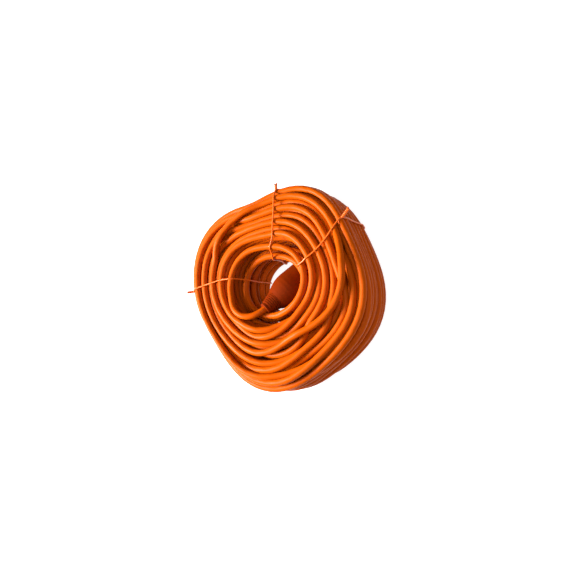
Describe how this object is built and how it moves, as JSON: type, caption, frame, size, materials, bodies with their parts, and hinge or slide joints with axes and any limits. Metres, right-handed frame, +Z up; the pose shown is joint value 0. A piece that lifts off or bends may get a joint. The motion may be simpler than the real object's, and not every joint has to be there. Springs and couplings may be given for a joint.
{
  "type": "extension cord",
  "caption": "Long orange three-core extension lead wound into a fat tied coil, with a shuttered socket coupler in its hole and a side-earthed plug beside it.",
  "frame": {"origin": "on the floor, under the middle of the whole object's box", "axes": "+Z up along the coil's axis, +X from the plug towards the far side of the coil, +Y the way the plug's pins point"},
  "size_m": [0.3226, 0.2788, 0.0902],
  "materials": {
    "orange_pvc_sheath": "satin",
    "orange_pvc_moulding": "matte",
    "orange_tie_wire": "satin",
    "grey_nylon_insert": "matte",
    "white_shutter": "satin",
    "brass_contact": "satin",
    "nickel_pin": "polished",
    "spring_steel": "satin",
    "brown_core": "satin",
    "blue_core": "satin",
    "green_yellow_core": "satin"
  },
  "bodies": {
    "lead": {"cord_coil": "orange_pvc_sheath", "cord_tail_coupler": "orange_pvc_sheath", "cord_tail_plug": "orange_pvc_sheath", "tie_top": "orange_tie_wire", "tie_upper_right": "orange_tie_wire", "tie_left": "orange_tie_wire", "coupler_bell": "orange_pvc_moulding", "coupler_strain_relief": "orange_pvc_moulding", "coupler_socket_insert": "grey_nylon_insert", "coupler_shutter_rivet": "spring_steel", "coupler_shutter_spring": "spring_steel", "coupler_contact_carrier": "grey_nylon_insert", "coupler_contact_L": "brass_contact", "coupler_contact_N": "brass_contact", "coupler_crimp_L": "brass_contact", "coupler_crimp_N": "brass_contact", "coupler_crimp_earth": "brass_contact", "coupler_earth_bow": "brass_contact", "coupler_core_brown": "brown_core", "coupler_core_blue": "blue_core", "coupler_core_green_yellow": "green_yellow_core", "plug_body": "orange_pvc_moulding", "plug_strain_relief": "orange_pvc_moulding", "plug_face_plate": "grey_nylon_insert", "plug_pin_L": "nickel_pin", "plug_pin_N": "nickel_pin", "plug_earth_tube": "brass_contact", "plug_earth_strip": "brass_contact", "plug_core_brown": "brown_core", "plug_core_blue": "blue_core", "plug_core_green_yellow": "green_yellow_core"},
    "shutter": {"coupler_shutter": "white_shutter"}
  },
  "joints": [
    {"name": "shutter_turn", "type": "hinge", "parent": "lead", "child": "shutter", "pos_m": [0.04121, 0.01281, 0.03674], "axis": [0.4917, 0.6293, -0.6018], "range_deg": [0, 40], "stiffness_Nm_per_rad": 0.002}
  ]
}
